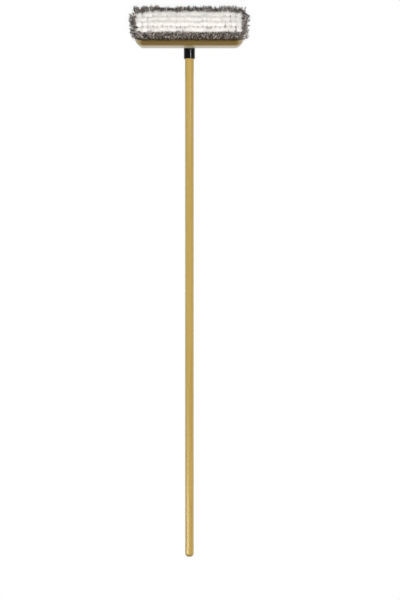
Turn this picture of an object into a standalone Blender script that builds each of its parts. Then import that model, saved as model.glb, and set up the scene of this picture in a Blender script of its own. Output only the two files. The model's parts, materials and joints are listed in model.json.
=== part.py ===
"""A truck wash brush lying on its back, bristles up, as it is laid on a table.

A wooden block carries six rows of tufts: grey all round the border, white in the middle. A straight
wooden handle is pinned into a black plastic ferrule, whose threaded tip screws into a bore that
enters the block's back at a slant.

X runs along the block, +Y from the handle towards the head, +Z up from the table. The origin is on
the table, in the brush's middle plane, halfway along its whole length. All lengths are in metres.
"""

import math

import bmesh
import bpy
import numpy as np

# Wooden block: its box, its round corners and edges, and the panel of the back that holds the bore
BLOCK_LENGTH = 0.3000
BLOCK_WIDTH = 0.080
BLOCK_THICKNESS = 0.0381
BLOCK_CORNER_RADIUS = 0.024
BACK_ROUND_INWARD = 0.010
BACK_ROUND_HEIGHT = 0.018
FACE_ROUND = 0.0015
BORE_PANEL_LENGTH = 0.0600
BLOCK_TILT = math.radians(38.0)

# Tufts: how they are set out on the block's face
ROW_COUNT = 6
COLUMN_COUNT = 24
SIDE_MARGIN = 0.0055
END_MARGIN = 0.0150
BORDER_ROW_FLARE = math.radians(21.0)
BORDER_END_FLARE = math.radians(30.0)
END_FLARE_KEPT_SHARE = 0.66

# Bristles: each tuft is a few strands that spread from its hole
STRANDS_PER_TUFT = 3
STRAND_SIDES = 3
BRISTLE_LENGTH = 0.044
BRISTLE_RAGGED_SHARE = 0.05
STRAND_FOOT_RADIUS = 0.0015
STRAND_TIP_RADIUS = 0.0006
STRAND_ROOT_DEPTH = 0.0010
TUFT_FOOT_RADIUS = 0.0016
TUFT_CLEARANCE = 0.0007
BRISTLE_SEED = 85

# Slices of the face that hold each row of tufts, seated in slots of the block
SLICE_THICKNESS = 0.0030
RIB_BESIDE_SLICE = 0.0020

# Handle: a straight turned stick with a rounded free end
HANDLE_DIAMETER = 0.0238
HANDLE_LENGTH = 1.4264
HANDLE_END_ROUND = 0.0100
HANDLE_END_FLAT_RADIUS = 0.0030
HANDLE_TOP_CHAMFER = 0.0010

# Ferrule: a sleeve over the handle's top, and a threaded tip that screws into the block
SLEEVE_WALL = 0.0032
SLEEVE_LENGTH = 0.0576
SLEEVE_EDGE_ROUND = 0.0008
SHOULDER_THICKNESS = 0.0142
TIP_DIAMETER = 0.0190
TIP_LENGTH = 0.0254
TIP_CHAMFER = 0.0015
THREAD_PITCH = 0.00508
THREAD_DEPTH = 0.0013
THREAD_CREST_SHARE = 0.40
THREAD_ROOT_SHARE = 0.36
ENTRY_OFFSET = 0.0020
SEAT_DEPTH = 0.0080

# Pin: a headless steel pin through the sleeve's wall into the handle
PIN_DIAMETER = 0.0030
PIN_IN_WOOD = 0.0075
PIN_CHAMFER = 0.0004
PIN_FROM_SLEEVE_END = 0.0160

# Gaps between pieces, and how far a cutter runs past what it cuts
SEAT_GAP = 0.0003
OVERRUN = 0.0040

# How finely the round shapes are faceted
ROUND_SIDES = 24
CORNER_STEPS = 8
BACK_ROUND_STEPS = 6
FACE_ROUND_STEPS = 2
SLOT_END_STEPS = 6
HANDLE_END_STEPS = 4
PIN_SIDES = 12
THREAD_STEPS_PER_TURN = 8
SMOOTH_ANGLE = math.radians(40.0)

# Sizes that follow from those above
ROW_PITCH = (BLOCK_WIDTH - 2 * SIDE_MARGIN) / (ROW_COUNT - 1)
COLUMN_PITCH = (BLOCK_LENGTH - 2 * END_MARGIN) / (COLUMN_COUNT - 1)
TUFT_SPREAD = min(ROW_PITCH, COLUMN_PITCH) / 2 - STRAND_TIP_RADIUS - TUFT_CLEARANCE
WOOD_BESIDE_TUFT = min(ROW_PITCH / 2, COLUMN_PITCH / 2, SIDE_MARGIN, END_MARGIN)
SLICE_WIDTH = 2 * (WOOD_BESIDE_TUFT - RIB_BESIDE_SLICE)
HANDLE_RADIUS = HANDLE_DIAMETER / 2
SOCKET_RADIUS = HANDLE_RADIUS + SEAT_GAP
SLEEVE_RADIUS = SOCKET_RADIUS + SLEEVE_WALL
SOCKET_FLOOR = -SHOULDER_THICKNESS
HANDLE_TOP = SOCKET_FLOOR - SEAT_GAP
PIN_LENGTH = SLEEVE_WALL + PIN_IN_WOOD

BLOCK_WOOD = (0.27, 0.17, 0.058)
HANDLE_WOOD = (0.56, 0.40, 0.14)
BLACK_PLASTIC = (0.008, 0.008, 0.009)
PIN_STEEL = (0.60, 0.60, 0.62)
GREY_BRISTLE = (0.13, 0.12, 0.115)
WHITE_BRISTLE = (0.84, 0.81, 0.76)


def clear_scene():
    for obj in list(bpy.data.objects):
        bpy.data.objects.remove(obj, do_unlink=True)


def material(name, colour, roughness, metallic=0.0):
    made = bpy.data.materials.new(name)
    made.use_nodes = True
    shader = made.node_tree.nodes["Principled BSDF"]
    shader.inputs["Base Color"].default_value = (*colour, 1.0)
    shader.inputs["Roughness"].default_value = roughness
    shader.inputs["Metallic"].default_value = metallic
    made.diffuse_color = (*colour, 1.0)
    return made


def empty(name, parent=None, location=(0.0, 0.0, 0.0), turn_about_x=0.0):
    made = bpy.data.objects.new(name, None)
    bpy.context.collection.objects.link(made)
    made.parent = parent
    made.location = location
    made.rotation_euler = (turn_about_x, 0.0, 0.0)
    return made


def mesh_object(name, points, faces, parent, finish=None):
    """A mesh from its points and faces, with every face turned outwards."""
    mesh = bpy.data.meshes.new(name)
    mesh.from_pydata([tuple(p) for p in points], [], faces)
    shaped = bmesh.new()
    shaped.from_mesh(mesh)
    bmesh.ops.recalc_face_normals(shaped, faces=shaped.faces)
    shaped.to_mesh(mesh)
    shaped.free()
    mesh.shade_smooth()
    mesh.set_sharp_from_angle(angle=SMOOTH_ANGLE)
    made = bpy.data.objects.new(name, mesh)
    bpy.context.collection.objects.link(made)
    made.parent = parent
    if finish:
        mesh.materials.append(finish)
    return made


def stacked_rings(name, rings, parent, finish=None):
    """A closed body through rings of equally many points, with a flat cap on the first and last."""
    sides = len(rings[0])
    faces = [
        (k * sides + i, k * sides + j, (k + 1) * sides + j, (k + 1) * sides + i)
        for k in range(len(rings) - 1)
        for i, j in ((i, (i + 1) % sides) for i in range(sides))
    ]
    last = (len(rings) - 1) * sides
    faces.append(tuple(range(sides)))
    faces.append(tuple(range(last, last + sides)))
    made = mesh_object(name, np.concatenate(rings), faces, parent, finish)
    for cap in made.data.polygons[-2:]:
        cap.use_smooth = False
    return made


def circle(radius, height, sides=ROUND_SIDES):
    """A ring about the Z axis. The radius is one number, or one for each point."""
    angle = np.arange(sides) * math.tau / sides
    return np.stack(
        [radius * np.cos(angle), radius * np.sin(angle), np.full(sides, height)], axis=1
    )


def turned(name, profile, parent, finish=None, sides=ROUND_SIDES):
    """A body turned about the Z axis from (radius, height) pairs."""
    rings = [circle(radius, height, sides) for radius, height in profile]
    return stacked_rings(name, rings, parent, finish)


def rounded_outline(length, width, radius, height, steps=CORNER_STEPS):
    """A rectangle with round corners, as a ring at one height."""
    quarter = np.linspace(0.0, math.pi / 2, steps + 1)
    corners = []
    for turn, (side_x, side_y) in enumerate(((1, 1), (-1, 1), (-1, -1), (1, -1))):
        angle = quarter + turn * math.pi / 2
        corners.append(
            np.stack(
                [
                    side_x * (length / 2 - radius) + radius * np.cos(angle),
                    side_y * (width / 2 - radius) + radius * np.sin(angle),
                    np.full(steps + 1, height),
                ],
                axis=1,
            )
        )
    return np.concatenate(corners)


def slot_outline(centre, length, width, height):
    """A slot with half-round ends. It runs along whichever of length and width is the longer."""
    half_width = min(length, width) / 2
    run = max(length, width) / 2 - half_width
    half_turn = np.linspace(-math.pi / 2, math.pi / 2, SLOT_END_STEPS + 1)
    along = np.concatenate(
        [run + half_width * np.cos(half_turn), -run - half_width * np.cos(half_turn)]
    )
    across = np.concatenate(
        [half_width * np.sin(half_turn), -half_width * np.sin(half_turn)]
    )
    if width > length:
        along, across = -across, along
    return np.stack(
        [centre[0] + along, centre[1] + across, np.full(len(along), height)], axis=1
    )


def boolean(obj, other, operation):
    """Cuts or joins another object, which is then only a guide."""
    other.hide_render = True
    other.display_type = "WIRE"
    modifier = obj.modifiers.new(other.name, "BOOLEAN")
    modifier.object = other
    modifier.operation = operation
    modifier.solver = "EXACT"


def block_rings():
    """From the back, at height zero, to the face: an elliptical round, a straight side, a small round."""
    rings = []
    for angle in np.linspace(0.0, math.pi / 2, BACK_ROUND_STEPS + 1):
        inset = BACK_ROUND_INWARD * (1.0 - math.sin(angle))
        rings.append((inset, BACK_ROUND_HEIGHT * (1.0 - math.cos(angle))))
    for angle in np.linspace(0.0, math.pi / 2, FACE_ROUND_STEPS + 1):
        inset = FACE_ROUND * (1.0 - math.cos(angle))
        rings.append((inset, BLOCK_THICKNESS - FACE_ROUND * (1.0 - math.sin(angle))))
    return [
        rounded_outline(
            BLOCK_LENGTH - 2 * inset,
            BLOCK_WIDTH - 2 * inset,
            BLOCK_CORNER_RADIUS - inset,
            height,
        )
        for inset, height in rings
    ]


def split_beside_bore(block):
    """Edges across the block beside the bore give the flats of its back corners clear of the bore."""
    shaped = bmesh.new()
    shaped.from_mesh(block.data)
    for x in (-BORE_PANEL_LENGTH / 2, BORE_PANEL_LENGTH / 2):
        bmesh.ops.bisect_plane(
            shaped,
            geom=[*shaped.verts, *shaped.edges, *shaped.faces],
            plane_co=(x, 0.0, 0.0),
            plane_no=(1.0, 0.0, 0.0),
        )
    shaped.to_mesh(block.data)
    shaped.free()


def resting_height():
    """How high the middle of the block's back lies when its far back edge rests on the table."""
    sine, cosine = math.sin(BLOCK_TILT), math.cos(BLOCK_TILT)
    across = BLOCK_WIDTH / 2 - BACK_ROUND_INWARD
    reach = math.hypot(BACK_ROUND_INWARD * sine, BACK_ROUND_HEIGHT * cosine)
    return across * sine - BACK_ROUND_HEIGHT * cosine + reach


def handle_slope(entry_height):
    """The handle's slope, with its free end on the table and its axis this high at the block's back."""
    to_end = HANDLE_LENGTH - HANDLE_END_ROUND - HANDLE_TOP - SEAT_DEPTH
    to_edge = math.hypot(to_end, HANDLE_RADIUS)
    return math.asin(entry_height / to_edge) - math.atan2(HANDLE_RADIUS, to_end)


def tuft_places():
    """Each group of tufts by name, as (row, column) pairs. The border is grey and the middle white."""
    columns = range(COLUMN_COUNT)
    inner_rows = range(1, ROW_COUNT - 1)
    groups = {
        "grey_row_handle_side": [(0, c) for c in columns],
        "grey_row_far_side": [(ROW_COUNT - 1, c) for c in columns],
        "grey_tufts_left_end": [(r, 0) for r in inner_rows],
        "grey_tufts_right_end": [(r, COLUMN_COUNT - 1) for r in inner_rows],
    }
    for row in inner_rows:
        groups[f"white_row_{row}"] = [(row, c) for c in columns[1:-1]]
    return groups


def tuft_foot(row, column):
    """Where a tuft leaves the face, in the block's plan."""
    return (
        (column - (COLUMN_COUNT - 1) / 2) * COLUMN_PITCH,
        (row - (ROW_COUNT - 1) / 2) * ROW_PITCH,
    )


def tuft_direction(row, column):
    """Rows fan out evenly across the block. The ends flare, and each column inwards keeps a share."""
    middle_row = (ROW_COUNT - 1) / 2
    across = math.tan(BORDER_ROW_FLARE * (row - middle_row) / middle_row)
    from_left, from_right = column, COLUMN_COUNT - 1 - column
    along = math.tan(
        BORDER_END_FLARE
        * (END_FLARE_KEPT_SHARE**from_right - END_FLARE_KEPT_SHARE**from_left)
    )
    direction = np.array([along, across, 1.0])
    return direction / np.linalg.norm(direction)


def strand_rings(foot, direction, angle, length):
    """One strand's foot and tip. It stays within its own tuft's spread, so that no two strands meet."""
    spoke = np.array([math.cos(angle), math.sin(angle), 0.0])
    tip = foot + direction * length + spoke * TUFT_SPREAD
    start = foot + spoke * TUFT_FOOT_RADIUS
    run = (tip - start) / np.linalg.norm(tip - start)
    start = start - run * (STRAND_ROOT_DEPTH / run[2])
    rings = []
    for centre, radius in ((start, STRAND_FOOT_RADIUS), (tip, STRAND_TIP_RADIUS)):
        ring = circle(radius, 0.0, STRAND_SIDES)
        rings.append(centre + ring)
    return rings


def strands(name, places, parent, chance):
    """All strands of a group of tufts, as separate closed bodies in one guide object."""
    points, faces = [], []
    for row, column in places:
        foot = np.array([*tuft_foot(row, column), BLOCK_THICKNESS])
        direction = tuft_direction(row, column)
        first_angle = chance.uniform(0.0, math.tau)
        for k in range(STRANDS_PER_TUFT):
            angle = first_angle + k * math.tau / STRANDS_PER_TUFT
            ragged = 1.0 + BRISTLE_RAGGED_SHARE * chance.uniform(-1.0, 1.0)
            low, high = strand_rings(foot, direction, angle, BRISTLE_LENGTH * ragged)
            n, at = STRAND_SIDES, len(points)
            points += [*low, *high]
            faces += [
                (at + i, at + (i + 1) % n, at + n + (i + 1) % n, at + n + i)
                for i in range(n)
            ]
            faces.append(tuple(range(at, at + n)))
            faces.append(tuple(range(at + n, at + 2 * n)))
    return mesh_object(f"{name}_strands", points, faces, parent)


def slice_plan(places):
    """The centre, length and width of the slice that holds a group of tufts."""
    feet = np.array([tuft_foot(row, column) for row, column in places])
    low, high = feet.min(axis=0), feet.max(axis=0)
    length, width = high - low + SLICE_WIDTH
    return (low + high) / 2, length, width


def bristle_group(name, places, parent, finish, chance):
    centre, length, width = slice_plan(places)
    heights = (BLOCK_THICKNESS - SLICE_THICKNESS, BLOCK_THICKNESS)
    rings = [slot_outline(centre, length, width, h) for h in heights]
    group = stacked_rings(name, rings, parent, finish)
    boolean(group, strands(name, places, parent, chance), "UNION")


def slot_cutter(name, places, parent):
    """The slot that a slice is seated in, with a gap at its sides and floor."""
    centre, length, width = slice_plan(places)
    heights = (
        BLOCK_THICKNESS - SLICE_THICKNESS - SEAT_GAP,
        BLOCK_THICKNESS + OVERRUN,
    )
    rings = [
        slot_outline(centre, length + 2 * SEAT_GAP, width + 2 * SEAT_GAP, h)
        for h in heights
    ]
    return stacked_rings(f"{name}_slot", rings, parent)


def bore_cutter(handle_frame):
    """The wide seat for the ferrule's shoulder, then the bore for the tip, chamfered as the tip is."""
    seat_radius = SLEEVE_RADIUS + SEAT_GAP
    bore_radius = TIP_DIAMETER / 2 + SEAT_GAP
    return turned(
        "handle_bore",
        (
            (seat_radius, -SLEEVE_LENGTH),
            (seat_radius, SEAT_GAP),
            (bore_radius, SEAT_GAP),
            (bore_radius, TIP_LENGTH - TIP_CHAMFER + SEAT_GAP),
            (bore_radius - TIP_CHAMFER, TIP_LENGTH + SEAT_GAP),
        ),
        handle_frame,
    )


def brush_block(head_frame, handle_frame, groups):
    finish = material("block_wood", BLOCK_WOOD, roughness=0.35)
    block = stacked_rings("brush_block", block_rings(), head_frame, finish)
    split_beside_bore(block)
    for name, places in groups.items():
        boolean(block, slot_cutter(name, places, head_frame), "DIFFERENCE")
    boolean(block, bore_cutter(handle_frame), "DIFFERENCE")


def thread_ring(height):
    """One ring of the threaded tip. The crest climbs a pitch each turn, and fades at the end chamfer."""
    angle = np.arange(ROUND_SIDES) / ROUND_SIDES
    phase = np.mod(height / THREAD_PITCH - angle, 1.0)
    from_crest = 2.0 * np.abs(phase - 1 / 2)
    flank = 1.0 - THREAD_CREST_SHARE - THREAD_ROOT_SHARE
    rise = np.clip((1.0 - THREAD_ROOT_SHARE - from_crest) / flank, 0.0, 1.0)
    top = min(THREAD_DEPTH, max(TIP_LENGTH - TIP_CHAMFER - height, 0.0))
    return circle(TIP_DIAMETER / 2 - THREAD_DEPTH + top * rise, height)


def ferrule(handle_frame, pin_hole):
    """From the chamfered tip down the thread, over the shoulder and sleeve, and up inside the socket."""
    tip_core = TIP_DIAMETER / 2 - THREAD_DEPTH
    steps = round((TIP_LENGTH - TIP_CHAMFER) / THREAD_PITCH * THREAD_STEPS_PER_TURN)
    thread_heights = np.linspace(TIP_LENGTH - TIP_CHAMFER, 0.0, steps + 1)
    rings = [circle(tip_core - TIP_CHAMFER, TIP_LENGTH)]
    rings += [thread_ring(height) for height in thread_heights]
    rings += [
        circle(radius, height)
        for radius, height in (
            (SLEEVE_RADIUS - SLEEVE_EDGE_ROUND, 0.0),
            (SLEEVE_RADIUS, -SLEEVE_EDGE_ROUND),
            (SLEEVE_RADIUS, SLEEVE_EDGE_ROUND - SLEEVE_LENGTH),
            (SLEEVE_RADIUS - SLEEVE_EDGE_ROUND, -SLEEVE_LENGTH),
            (SOCKET_RADIUS, -SLEEVE_LENGTH),
            (SOCKET_RADIUS, SOCKET_FLOOR),
        )
    ]
    finish = material("ferrule_plastic", BLACK_PLASTIC, roughness=0.22)
    made = stacked_rings("ferrule", rings, handle_frame, finish)
    boolean(made, pin_hole, "DIFFERENCE")


def handle(handle_frame, pin_hole):
    """A plain turned stick. Its top stands on the socket's floor, and its free end is rounded."""
    round_start = HANDLE_TOP - HANDLE_LENGTH + HANDLE_END_ROUND
    profile = [
        (HANDLE_RADIUS - HANDLE_TOP_CHAMFER, HANDLE_TOP),
        (HANDLE_RADIUS, HANDLE_TOP - HANDLE_TOP_CHAMFER),
    ]
    for angle in np.linspace(0.0, math.pi / 2, HANDLE_END_STEPS + 1):
        spread = (HANDLE_RADIUS - HANDLE_END_FLAT_RADIUS) * math.cos(angle)
        height = round_start - HANDLE_END_ROUND * math.sin(angle)
        profile.append((HANDLE_END_FLAT_RADIUS + spread, height))
    finish = material("handle_wood", HANDLE_WOOD, roughness=0.3)
    made = turned("handle", profile, handle_frame, finish)
    boolean(made, pin_hole, "DIFFERENCE")


def ferrule_pin(pin_frame):
    """A headless pin, just under the sleeve's surface. Its frame's Z axis points into the handle."""
    radius = PIN_DIAMETER / 2
    finish = material("pin_steel", PIN_STEEL, roughness=0.35, metallic=1.0)
    turned(
        "ferrule_pin",
        (
            (radius - PIN_CHAMFER, SEAT_GAP),
            (radius, SEAT_GAP + PIN_CHAMFER),
            (radius, SEAT_GAP + PIN_LENGTH - PIN_CHAMFER),
            (radius - PIN_CHAMFER, SEAT_GAP + PIN_LENGTH),
        ),
        pin_frame,
        finish,
        PIN_SIDES,
    )


def pin_hole_cutter(pin_frame):
    radius = PIN_DIAMETER / 2 + SEAT_GAP
    ends = (-OVERRUN, PIN_LENGTH + 2 * SEAT_GAP)
    return turned("pin_hole", [(radius, z) for z in ends], pin_frame, sides=PIN_SIDES)


def centre_over_origin(brush):
    """Moves the brush so that the origin is halfway along it, on the table, and in its middle plane."""
    bpy.context.view_layer.update()
    graph = bpy.context.evaluated_depsgraph_get()
    corners = []
    for obj in bpy.data.objects:
        if obj.type == "MESH" and not obj.hide_render:
            shown = obj.evaluated_get(graph)
            local = np.array([v.co[:] for v in shown.data.vertices])
            world = np.array(obj.matrix_world)
            points = local @ world[:3, :3].T + world[:3, 3]
            corners += [points.min(axis=0), points.max(axis=0)]
    low, high = np.min(corners, axis=0), np.max(corners, axis=0)
    brush.location = (0.0, -(low[1] + high[1]) / 2, -low[2])


def build():
    clear_scene()
    brush = empty("brush")
    rest = resting_height()
    head_frame = empty("head_frame", brush, (0.0, 0.0, rest), -BLOCK_TILT)
    entry_y = -ENTRY_OFFSET * math.cos(BLOCK_TILT)
    entry_z = rest + ENTRY_OFFSET * math.sin(BLOCK_TILT)
    slope = handle_slope(entry_z)
    shoulder = (
        0.0,
        entry_y + SEAT_DEPTH * math.cos(slope),
        entry_z + SEAT_DEPTH * math.sin(slope),
    )
    handle_frame = empty("handle_frame", brush, shoulder, slope - math.pi / 2)
    pin_frame = empty(
        "pin_frame",
        handle_frame,
        (0.0, SLEEVE_RADIUS, PIN_FROM_SLEEVE_END - SLEEVE_LENGTH),
        math.pi / 2,
    )

    groups = tuft_places()
    brush_block(head_frame, handle_frame, groups)
    chance = np.random.default_rng(BRISTLE_SEED)
    finishes = {
        "grey": material("grey_bristle", GREY_BRISTLE, roughness=0.6),
        "white": material("white_bristle", WHITE_BRISTLE, roughness=0.5),
    }
    for name, places in groups.items():
        finish = finishes[name.split("_")[0]]
        bristle_group(name, places, head_frame, finish, chance)

    pin_hole = pin_hole_cutter(pin_frame)
    ferrule(handle_frame, pin_hole)
    handle(handle_frame, pin_hole)
    ferrule_pin(pin_frame)
    centre_over_origin(brush)


build()
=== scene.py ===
import json
import math

import bpy
import numpy as np
from mathutils import Matrix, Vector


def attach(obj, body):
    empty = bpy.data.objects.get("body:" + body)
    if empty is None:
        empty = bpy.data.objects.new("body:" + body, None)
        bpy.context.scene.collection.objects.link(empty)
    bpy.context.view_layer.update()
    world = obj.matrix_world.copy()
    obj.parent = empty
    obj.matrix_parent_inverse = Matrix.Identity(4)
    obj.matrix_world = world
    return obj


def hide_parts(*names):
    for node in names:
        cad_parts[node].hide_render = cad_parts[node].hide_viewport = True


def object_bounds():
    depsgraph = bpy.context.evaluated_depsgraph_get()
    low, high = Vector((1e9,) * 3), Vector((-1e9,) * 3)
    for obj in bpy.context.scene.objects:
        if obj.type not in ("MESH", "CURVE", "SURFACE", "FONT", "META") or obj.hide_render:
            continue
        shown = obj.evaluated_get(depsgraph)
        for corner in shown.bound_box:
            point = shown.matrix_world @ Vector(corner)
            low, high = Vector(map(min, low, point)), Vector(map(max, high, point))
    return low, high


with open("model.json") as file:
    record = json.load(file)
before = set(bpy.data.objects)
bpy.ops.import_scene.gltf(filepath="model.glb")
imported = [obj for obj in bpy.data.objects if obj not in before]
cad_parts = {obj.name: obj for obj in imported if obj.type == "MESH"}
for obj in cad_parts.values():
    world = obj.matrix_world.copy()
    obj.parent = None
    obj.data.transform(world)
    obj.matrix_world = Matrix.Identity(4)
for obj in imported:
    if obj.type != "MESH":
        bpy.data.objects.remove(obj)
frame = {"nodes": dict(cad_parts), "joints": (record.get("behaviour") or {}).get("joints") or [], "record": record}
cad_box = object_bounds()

# Brush block. One piece of hardwood, cut to a round-cornered outline with its back edge shaped on
# a router, then drilled with a leaning hole for each tuft and bored on the slant for the handle.
# It is stained golden brown and dipped in clear lacquer.
BEVEL_HEIGHT = 0.0212           # from the back to the sharp bend under the block's straight side
BACK_EDGE_INWARD = 0.010        # from the straight side to where the flat back starts
BEVEL_ANGLES = (12.0, 34.0)     # lean of the bevel at its top and foot, in degrees
BEVEL_STEPS = 12
ROUND_STEPS = 8
FACE_ROUND = 0.0015
EDGE_HOLD = 0.0004              # flat strip beside a rounding or bend, so that the wall shades flat
SHARP_ANGLE = 32.0              # between two faces, past which their edge shades sharp, in degrees
CORNER_RADIUS = 0.024
CORNER_STEPS = 28
TUFT_ROWS, TUFT_COLUMNS = 6, 24
SIDE_MARGIN, END_MARGIN = 0.0070, 0.0150            # from the face's edges to the outer tufts
ROW_LEANS = (-31.0, -24.0, -10.6, -2.6, 4.0, 20.5)  # across the block, in degrees
END_ROW_LEANS = (-31.0, -25.5, -11.5, -0.5, 9.5, 20.5)  # the same, of the tufts at the ends
END_LEAN = 31.0                 # of the outermost tufts along the block, in degrees
END_LEAN_KEPT = 0.67            # share of the end tuft's lean that each tuft further in keeps
FAR_ROW_LEAN_KEPT = 0.60        # share of that lean in the row furthest from the handle
HOLE_SIDES = 20
HOLE_HEIGHTS = (-0.0080, -0.0010, 0.0, 0.0030)      # of a tuft hole's rings over the block's face
HOLE_RADII = (0.0034, 0.0034, 0.0039, 0.0043)


def reach(name, directions):
    """Lowest and highest distance of a CAD node's points along each of three directions."""
    mesh = frame["nodes"][name].data
    points = np.empty(3 * len(mesh.vertices), np.float32)
    mesh.vertices.foreach_get("co", points)
    distances = points.reshape(-1, 3) @ np.array(directions).T
    return distances.min(axis=0), distances.max(axis=0)


def tubes(centres, radii, directions, sides):
    """Points of tubes: a circle of the radius given round each centre, square to its direction.

    A point is its centre plus the radius times the cosine of its turn along one square direction
    and the sine along the other. Centres are tubes by rings by 3, directions are tubes by 3, and
    radii fit tubes by rings by sides.
    """
    first = np.cross([0.0, 1.0, 0.0], directions)
    first /= np.linalg.norm(first, axis=-1, keepdims=True)
    second = np.cross(directions, first)
    turn = (2 * math.pi / sides * np.arange(sides))[:, None]
    circle = np.cos(turn) * first[:, None] + np.sin(turn) * second[:, None]
    return centres[:, :, None] + radii[..., None] * circle[:, None]


def tube_faces(count, rings, sides):
    """Faces of closed tubes whose points run round each ring, ring after ring, tube after tube.

    A wall face joins two neighbours on a ring to the same two on the next, and an end is a cap.
    """
    start = np.arange(count)[:, None, None] * (rings * sides)
    row, side = np.arange(rings - 1)[:, None] * sides, np.arange(sides)
    here, beside = start + row + side, start + row + (side + 1) % sides
    walls = np.stack([here, beside, beside + sides, here + sides], axis=-1)
    caps = [start[:, 0] + side[::-1], start[:, 0] + (rings - 1) * sides + side]
    return walls.reshape(-1, 4), np.concatenate(caps)


def new_piece(name, points, *faces):
    """A smooth mesh object made of points and of arrays of faces, a row of point numbers each."""
    corners = np.concatenate([group.ravel() for group in faces])
    sizes = np.concatenate([np.full(len(group), group.shape[1]) for group in faces])
    mesh = bpy.data.meshes.new(name)
    mesh.vertices.add(len(points))
    mesh.loops.add(len(corners))
    mesh.polygons.add(len(sizes))
    mesh.vertices.foreach_set("co", np.ravel(points).astype(np.float32))
    mesh.loops.foreach_set("vertex_index", corners.astype(np.int32))
    mesh.polygons.foreach_set("loop_start", (np.cumsum(sizes) - sizes).astype(np.int32))
    mesh.polygons.foreach_set("use_smooth", np.ones(len(sizes), bool))
    mesh.update(calc_edges=True)
    piece = bpy.data.objects.new(name, mesh)
    bpy.context.scene.collection.objects.link(piece)
    return piece


def cut(piece, cutter):
    """Takes the cutter's space out of a piece, and the cutter away."""
    modifier = piece.modifiers.new("cut", "BOOLEAN")
    modifier.object, modifier.operation, modifier.solver = cutter, "DIFFERENCE", "EXACT"
    graph = bpy.context.evaluated_depsgraph_get()
    piece.data = bpy.data.meshes.new_from_object(piece.evaluated_get(graph))
    piece.modifiers.clear()
    bpy.data.objects.remove(cutter)
    piece.data.set_sharp_from_angle(angle=math.radians(SHARP_ANGLE))


def block_edge():
    """Inward distance and height of points round the block's edge, from its back up to its face.

    The edge is a chain of chords. One that leans by an angle goes out by its length times the sine
    and up by its length times the cosine. The bevel's length and the radius of the rounding below
    it are the two unknowns that take the edge from the back's flat to the bend.
    """
    low, high = np.radians(BEVEL_ANGLES)
    bevel = np.linspace(high, low, 2 * BEVEL_STEPS + 1)[1::2]
    sums = [[np.sin(bevel).mean(), math.cos(high)], [np.cos(bevel).mean(), 1 - math.sin(high)]]
    length, radius = np.linalg.solve(sums, [BACK_EDGE_INWARD, BEVEL_HEIGHT])
    back = np.linspace(math.pi / 2, high, 2 * ROUND_STEPS + 1)[1::2]
    face = np.linspace(0.0, -math.pi / 2, 2 * ROUND_STEPS + 1)[1::2]
    lean = np.concatenate([back, bevel, [0.0, 0.0, 0.0], face])
    chord = np.concatenate([
        np.full(ROUND_STEPS, 2 * radius * math.sin((math.pi / 2 - high) / ROUND_STEPS / 2)),
        np.full(BEVEL_STEPS, length / BEVEL_STEPS),
        [EDGE_HOLD, block_thickness - BEVEL_HEIGHT - FACE_ROUND - 2 * EDGE_HOLD, EDGE_HOLD],
        np.full(ROUND_STEPS, 2 * FACE_ROUND * math.sin(math.pi / 2 / ROUND_STEPS / 2)),
    ])
    inward = BACK_EDGE_INWARD - np.cumsum(chord * np.sin(lean))
    height = np.cumsum(chord * np.cos(lean))
    return np.r_[BACK_EDGE_INWARD, inward], np.r_[0.0, height]


def block_rings(inward, height):
    """Rings of points round the block, one for each point of its edge.

    A ring is a quarter turn about the centre of each plan corner, at that corner's radius less the
    inward distance.
    """
    quarter = np.linspace(0.0, math.pi / 2, CORNER_STEPS + 1)
    turn = (quarter + math.pi / 2 * np.arange(4)[:, None]).ravel()
    corner = np.repeat([[1, 1], [-1, 1], [-1, -1], [1, -1]], CORNER_STEPS + 1, axis=0)
    middle = corner * (block_half_length - CORNER_RADIUS, block_half_width - CORNER_RADIUS)
    outward = np.stack([np.cos(turn), np.sin(turn)], axis=-1)
    flat = middle + (CORNER_RADIUS - inward)[:, None, None] * outward
    return np.concatenate([flat, np.repeat(height, len(turn)).reshape(-1, len(turn), 1)], axis=2)


def tuft_places():
    """Foot of each tuft on the block's face and the way it leans, as rows by columns by 3.

    A tuft leans across the block as its row does, and the tangent of its lean along the block fades
    by the same share with each tuft in from an end.
    """
    across = np.linspace(-1.0, 1.0, TUFT_ROWS)
    column = np.arange(TUFT_COLUMNS)
    along = np.linspace(-1.0, 1.0, TUFT_COLUMNS)
    foot_x, foot_y = np.meshgrid(
        along * (block_half_length - END_MARGIN), across * (block_half_width - SIDE_MARGIN)
    )
    faded = END_LEAN_KEPT ** column[::-1] - END_LEAN_KEPT ** column
    kept = np.where(np.arange(TUFT_ROWS) == TUFT_ROWS - 1, FAR_ROW_LEAN_KEPT, 1.0)
    lean_x = kept[:, None] * faded * math.tan(math.radians(END_LEAN))
    lean_y = np.tile(np.tan(np.radians(ROW_LEANS))[:, None], TUFT_COLUMNS)
    lean_y[:, [0, -1]] = np.tan(np.radians(END_ROW_LEANS))[:, None]
    foot = np.stack([foot_x, foot_y, np.full_like(foot_x, block_thickness)], axis=-1)
    way = np.stack([lean_x, lean_y, np.ones_like(lean_x)], axis=-1)
    return foot, way / np.linalg.norm(way, axis=-1, keepdims=True)


def on_block(points):
    """Points measured along, across and up from the block's back, put in the frame."""
    return points @ block_axes + block_origin


bristle_way = -np.array(frame["record"]["mounts"][0]["axis"])
block_axes = np.array([[1.0, 0.0, 0.0], np.cross(bristle_way, [1.0, 0.0, 0.0]), bristle_way])
block_low, block_high = reach("brush_block", block_axes)
block_half_length, block_half_width, block_thickness = (block_high - block_low) * (0.5, 0.5, 1)
block_middle = (block_low + block_high) / 2
block_origin = np.array([block_middle[0], block_middle[1], block_low[2]]) @ block_axes

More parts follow.
